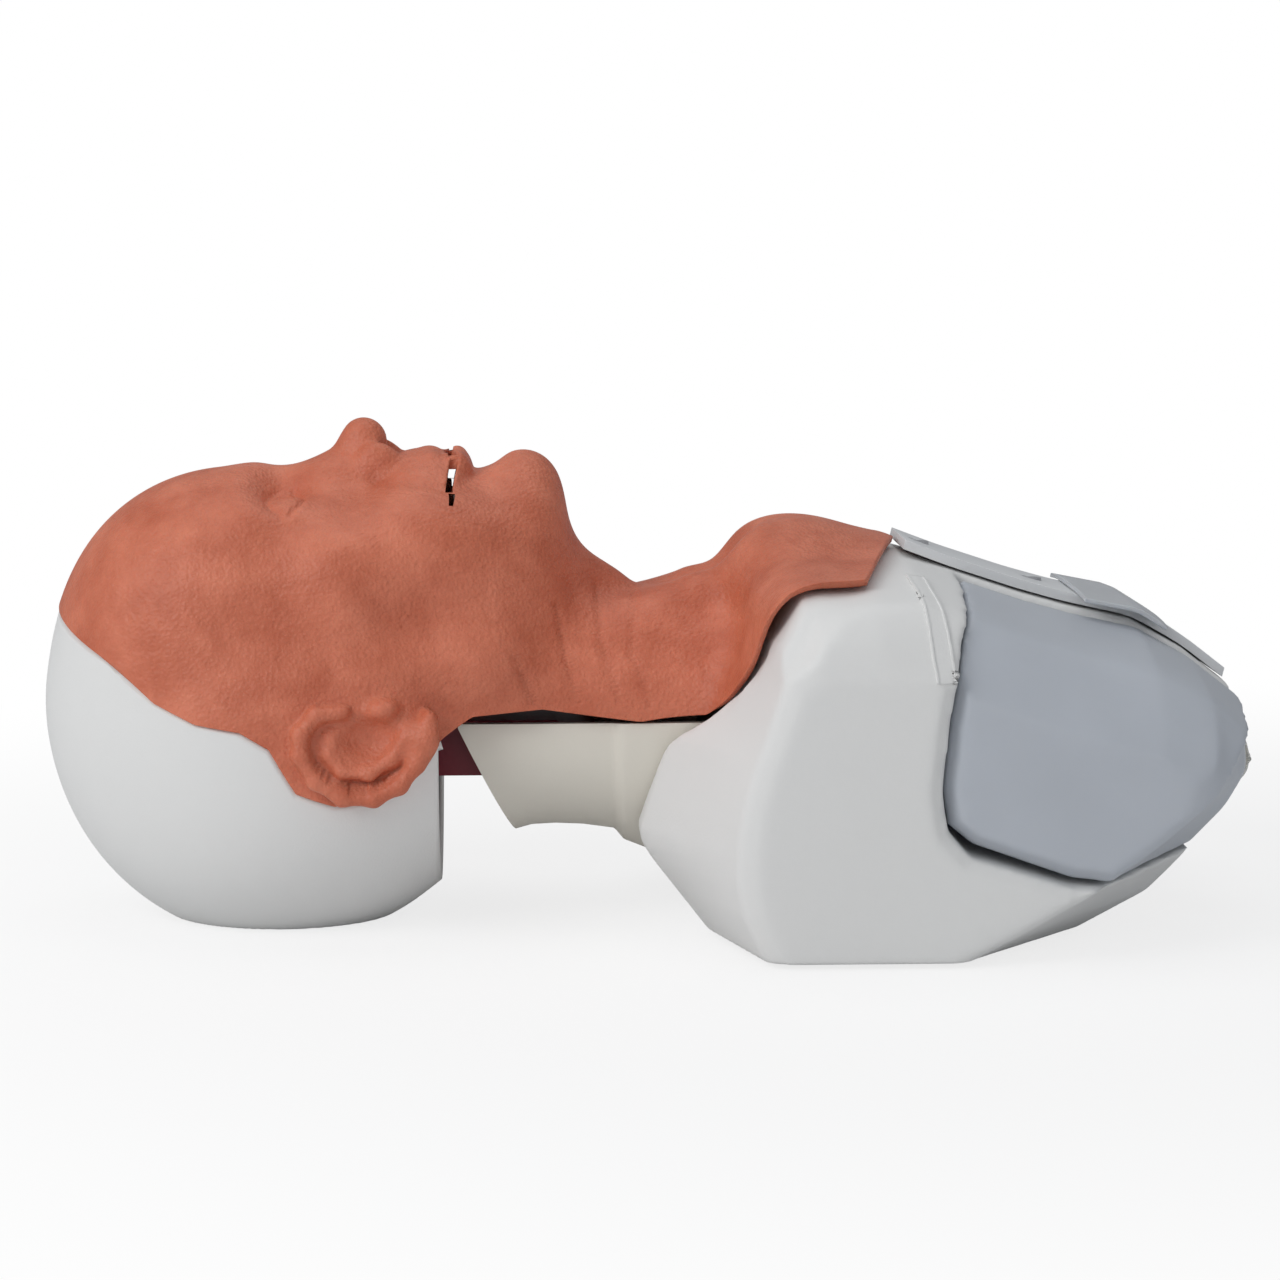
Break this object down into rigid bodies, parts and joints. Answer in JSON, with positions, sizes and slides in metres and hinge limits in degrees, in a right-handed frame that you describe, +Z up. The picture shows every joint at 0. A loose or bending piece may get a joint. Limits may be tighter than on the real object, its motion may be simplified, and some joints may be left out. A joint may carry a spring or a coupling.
{
  "type": "airway management trainer",
  "caption": "Supine half-body trainer for airway practice: hinged head and jaw under a soft skin, open mouth and windpipe, neck cradle, and chest shell with clear lung bags.",
  "frame": {"origin": "middle of the flat mat under the chest shell, on the table plane, in the object's plane of symmetry", "axes": "+X from the crown of the head towards the waist end, +Y across the chest, +Z up, the face pointing up"},
  "size_m": [0.53, 0.248, 0.2172],
  "materials": {
    "shell_white": "satin",
    "skin": "matte",
    "frame_plastic": "matte",
    "bracket_metal": "satin",
    "screw_steel": "satin",
    "pin_steel": "satin",
    "teeth": "gloss",
    "jaw_plastic": "matte",
    "teeth_lower": "gloss",
    "tongue_rubber": "satin",
    "cradle_rubber": "matte",
    "spigot_red": "satin",
    "tilt_steel": "satin",
    "airway_rubber": "satin",
    "trachea_rubber": "satin",
    "gullet_rubber": "satin",
    "chest_white": "satin",
    "mat_rubber": "matte",
    "cover_white": "satin",
    "cover_steel": "satin",
    "strap_clear": "satin",
    "lung_clear": "satin",
    "lung_clear_left": "satin",
    "collar_red": "satin",
    "bag_clear": "satin",
    "gullet_collar_red": "satin"
  },
  "bodies": {
    "chest": {"chest_shell": "chest_white", "base_mat": "mat_rubber", "sternum_cover": "cover_white", "cover_screws": "cover_steel", "chest_strap": "strap_clear", "lung_right": "lung_clear", "lung_left": "lung_clear_left", "lung_collars": "collar_red", "stomach_bag": "bag_clear", "gullet_collar": "gullet_collar_red", "neck_cradle": "cradle_rubber", "neck_spigot": "spigot_red", "tilt_pin": "tilt_steel", "airway": "airway_rubber", "trachea": "trachea_rubber", "gullet": "gullet_rubber"},
    "head": {"head_shell": "shell_white", "face_skin": "skin", "skull_frame": "frame_plastic", "head_bracket": "bracket_metal", "bracket_screws": "screw_steel", "jaw_pins": "pin_steel", "upper_teeth": "teeth"},
    "jaw": {"mandible": "jaw_plastic", "lower_teeth": "teeth_lower", "tongue": "tongue_rubber"}
  },
  "joints": [
    {"name": "head_tilt", "type": "hinge", "parent": "chest", "child": "head", "pos_m": [-0.215, 0, 0.076], "axis": [0, 1, 0], "range_deg": [-10, 25], "deforming": ["face_skin", "airway", "gullet"]},
    {"name": "jaw_hinge", "type": "hinge", "parent": "head", "child": "jaw", "pos_m": [-0.24237, 0, 0.10013], "axis": [0, 1, 0], "range_deg": [0, 14], "stiffness_Nm_per_rad": 1, "springref_deg": -14.32, "deforming": ["face_skin", "airway"]}
  ]
}
